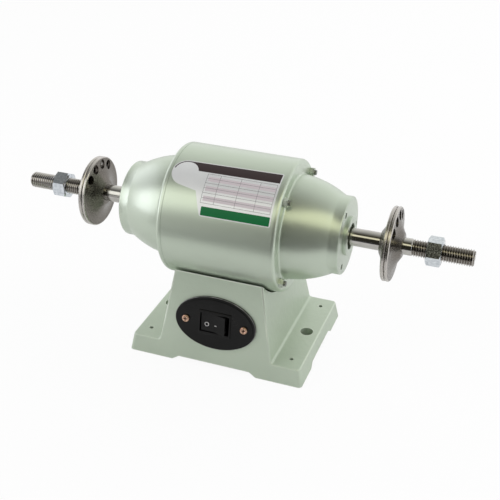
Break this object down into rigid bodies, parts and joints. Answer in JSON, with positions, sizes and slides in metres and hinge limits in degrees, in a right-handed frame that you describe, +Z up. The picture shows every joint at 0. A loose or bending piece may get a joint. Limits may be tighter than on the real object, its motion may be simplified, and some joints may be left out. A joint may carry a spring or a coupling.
{
  "type": "dental polishing lathe",
  "caption": "Two-ended electric polishing lathe on a cast pedestal base, with clamping flanges and nuts on a through spindle and a rocker switch.",
  "frame": {"origin": "middle of the base's underside, below the spindle and halfway along it", "axes": "+X along the spindle to the right-hand end, seen from the switch; +Y away from the switch side; +Z up"},
  "size_m": [0.4548, 0.1354, 0.2],
  "materials": {
    "drum_paint": "satin metallic sage green enamel",
    "base_paint": "sage green enamel over the texture of a sand casting",
    "turned_flange": "turned steel with fine concentric tool marks",
    "spindle_steel": "ground and polished steel",
    "zinc_plate": "bright zinc plating",
    "black_screw": "black oxide on screw steel",
    "bearing_steel": "ground bearing steel",
    "spring_steel": "oiled spring steel",
    "lamination_steel": "stacked electrical steel sheet",
    "copper_wire": "varnished copper wire",
    "cage_aluminium": "die-cast aluminium",
    "cage_brass": "machined brass",
    "sheet_steel": "zinc-plated sheet",
    "black_plastic": "fine-grained moulded plastic",
    "switch_plastic": "moulded plastic, semi-gloss",
    "brass_screw": "brassed screw heads",
    "rubber": "black rubber",
    "capacitor_can": "drawn aluminium can",
    "block_plastic": "natural nylon",
    "tinned_blade": "tinned brass blades"
  },
  "bodies": {
    "frame": {"base_casting": "base_paint", "bottom_cover": "sheet_steel", "cover_screws": "zinc_plate", "drum_shell": "drum_paint", "through_bolts": "zinc_plate", "through_bolt_nuts": "drum_paint", "mount_bolts": "zinc_plate", "mount_nuts": "zinc_plate", "lead_bush": "rubber", "stator_core": "lamination_steel", "stator_windings": "copper_wire", "switch_plate": "black_plastic", "switch_plate_screws": "brass_screw", "switch_housing": "switch_plastic", "switch_terminals": "tinned_blade", "cord_inlet": "rubber", "run_capacitor": "capacitor_can", "capacitor_clip": "sheet_steel", "clip_screws": "zinc_plate", "terminal_block": "block_plastic", "end_bell_left": "drum_paint", "bearing_retainer_left": "zinc_plate", "retainer_screws_left": "black_screw", "bearing_outer_left": "bearing_steel", "bearing_shields_left": "sheet_steel", "preload_spring_left": "spring_steel", "end_bell_right": "drum_paint", "bearing_retainer_right": "zinc_plate", "retainer_screws_right": "black_screw", "bearing_outer_right": "bearing_steel", "bearing_shields_right": "sheet_steel", "preload_spring_right": "spring_steel"},
    "rotor": {"shaft": "spindle_steel", "rotor_core": "lamination_steel", "rotor_cage": "cage_aluminium", "bearing_inner_left": "bearing_steel", "flange_inner_left": "turned_flange", "bearing_inner_right": "bearing_steel", "flange_inner_right": "turned_flange"},
    "ball_set_left": {"balls_left": "bearing_steel", "ball_cage_left": "cage_brass"},
    "flange_outer_left": {"flange_outer_left": "turned_flange"},
    "nut_left": {"nut_left": "zinc_plate"},
    "ball_set_right": {"balls_right": "bearing_steel", "ball_cage_right": "cage_brass"},
    "flange_outer_right": {"flange_outer_right": "turned_flange"},
    "nut_right": {"nut_right": "zinc_plate"},
    "rocker": {"switch_rocker": "switch_plastic"}
  },
  "joints": [
    {"name": "rotor_spin", "type": "hinge", "parent": "frame", "child": "rotor", "pos_m": [0, 0, 0.1358], "axis": [1, 0, 0], "continuous": true},
    {"name": "ball_set_left_roll", "type": "hinge", "parent": "frame", "child": "ball_set_left", "pos_m": [-0.099, 0, 0.1358], "axis": [1, 0, 0], "continuous": true},
    {"name": "flange_outer_left_slide", "type": "slide", "parent": "rotor", "child": "flange_outer_left", "axis": [-1, 0, 0], "range_m": [0, 0.0065]},
    {"name": "nut_left_travel", "type": "slide", "parent": "rotor", "child": "nut_left", "axis": [-1, 0, 0], "range_m": [-0.014, 0.029]},
    {"name": "ball_set_right_roll", "type": "hinge", "parent": "frame", "child": "ball_set_right", "pos_m": [0.099, 0, 0.1358], "axis": [1, 0, 0], "continuous": true},
    {"name": "flange_outer_right_slide", "type": "slide", "parent": "rotor", "child": "flange_outer_right", "axis": [1, 0, 0], "range_m": [0, 0.0065]},
    {"name": "nut_right_travel", "type": "slide", "parent": "rotor", "child": "nut_right", "axis": [1, 0, 0], "range_m": [-0.014, 0.029]},
    {"name": "rocker_tip", "type": "hinge", "parent": "frame", "child": "rocker", "pos_m": [0, -0.05639, 0.04796], "axis": [0, 0.1639, 0.9865], "range_deg": [0, 18]}
  ],
  "couplings": [
    {"joint": "ball_set_left_roll", "follows": "rotor_spin", "ratio": 0.3816},
    {"joint": "ball_set_right_roll", "follows": "rotor_spin", "ratio": 0.3816}
  ]
}
